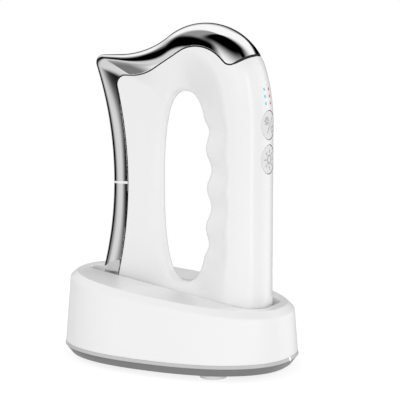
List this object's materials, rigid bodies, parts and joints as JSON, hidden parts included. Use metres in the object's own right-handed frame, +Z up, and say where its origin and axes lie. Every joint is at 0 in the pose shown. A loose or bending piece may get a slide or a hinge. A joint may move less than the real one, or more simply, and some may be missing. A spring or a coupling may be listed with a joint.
{
  "type": "handheld massager on a charging dock",
  "caption": "Loop-handled facial massager with a polished metal edge and round buttons, standing in an oval charging dock with a slanted top.",
  "frame": {"origin": "on the table under the centre of the dock's oval", "axes": "+X from the polished front edge to the back of the handle, +Y to the side with the charging socket, +Z up"},
  "size_m": [0.1288, 0.0828, 0.1773],
  "materials": {
    "white_plastic": "glossy white moulding",
    "polished_metal": "mirror polished plating",
    "button_plastic": "satin light grey",
    "blue_lens": "clear tinted light pipe",
    "red_lens": "clear tinted light pipe",
    "light_grey_plastic": "satin light grey",
    "dark_grey_plastic": "satin dark grey",
    "pale_rubber": "soft pale rubber",
    "circuit_board": "green lacquer",
    "black_plastic": "black moulding",
    "steel": "plain steel",
    "gold_contact": "plated contact",
    "cell_wrap": "shrink wrap",
    "wire_sleeve": "soft wire covering",
    "soft_rubber": "soft black rubber",
    "clear_lens": "frosted window",
    "brass_weight": "turned metal"
  },
  "bodies": {
    "dock": {"dock_shell": "white_plastic", "dock_trim": "light_grey_plastic", "dock_indicator": "clear_lens", "dock_base": "dark_grey_plastic", "dock_feet": "pale_rubber", "dock_screws": "steel", "ballast_plate": "steel", "dock_board": "circuit_board", "dock_board_screws": "steel", "dock_led": "clear_lens", "dock_lead": "wire_sleeve", "pin_block": "black_plastic", "left_pin_spring": "steel", "right_pin_spring": "steel", "charging_socket": "steel", "socket_tongue": "black_plastic"},
    "left_pin": {"left_contact_pin": "gold_contact"},
    "right_pin": {"right_contact_pin": "gold_contact"},
    "handset": {"near_shell": "white_plastic", "far_shell": "white_plastic", "head_electrode": "polished_metal", "front_electrode": "polished_metal", "electrode_spacer": "white_plastic", "shell_screws": "steel", "blue_indicators": "blue_lens", "red_indicators": "red_lens", "indicator_leds": "clear_lens", "control_board": "circuit_board", "board_screws": "steel", "button_switches": "black_plastic", "board_chips": "black_plastic", "battery_cell": "cell_wrap", "battery_tabs": "steel", "vibration_motor": "steel", "motor_sleeve": "soft_rubber", "electrode_contacts": "gold_contact", "charge_pads": "gold_contact", "handset_leads": "wire_sleeve"},
    "mode_key": {"mode_button": "button_plastic", "mode_plunger": "black_plastic"},
    "light_key": {"light_button": "button_plastic", "light_plunger": "black_plastic"},
    "rotor": {"motor_shaft": "steel", "motor_weight": "brass_weight"}
  },
  "joints": [
    {"name": "handset_lift", "type": "slide", "parent": "dock", "child": "handset", "axis": [0, 0, 1], "range_m": [0, 0.06]},
    {"name": "mode_press", "type": "slide", "parent": "handset", "child": "mode_key", "axis": [-1, 0, 0], "range_m": [0, 0.0005], "stiffness_N_per_m": 2000},
    {"name": "light_press", "type": "slide", "parent": "handset", "child": "light_key", "axis": [-1, 0, 0], "range_m": [0, 0.0005], "stiffness_N_per_m": 2000},
    {"name": "motor_spin", "type": "hinge", "parent": "handset", "child": "rotor", "pos_m": [0.016, 0, 0.1595], "axis": [1, 0, 0], "continuous": true},
    {"name": "left_pin_press", "type": "slide", "parent": "dock", "child": "left_pin", "axis": [0, 0, -1], "range_m": [0, 0.0006], "stiffness_N_per_m": 600, "deforming": ["left_pin_spring"]},
    {"name": "right_pin_press", "type": "slide", "parent": "dock", "child": "right_pin", "axis": [0, 0, -1], "range_m": [0, 0.0006], "stiffness_N_per_m": 600, "deforming": ["right_pin_spring"]}
  ]
}
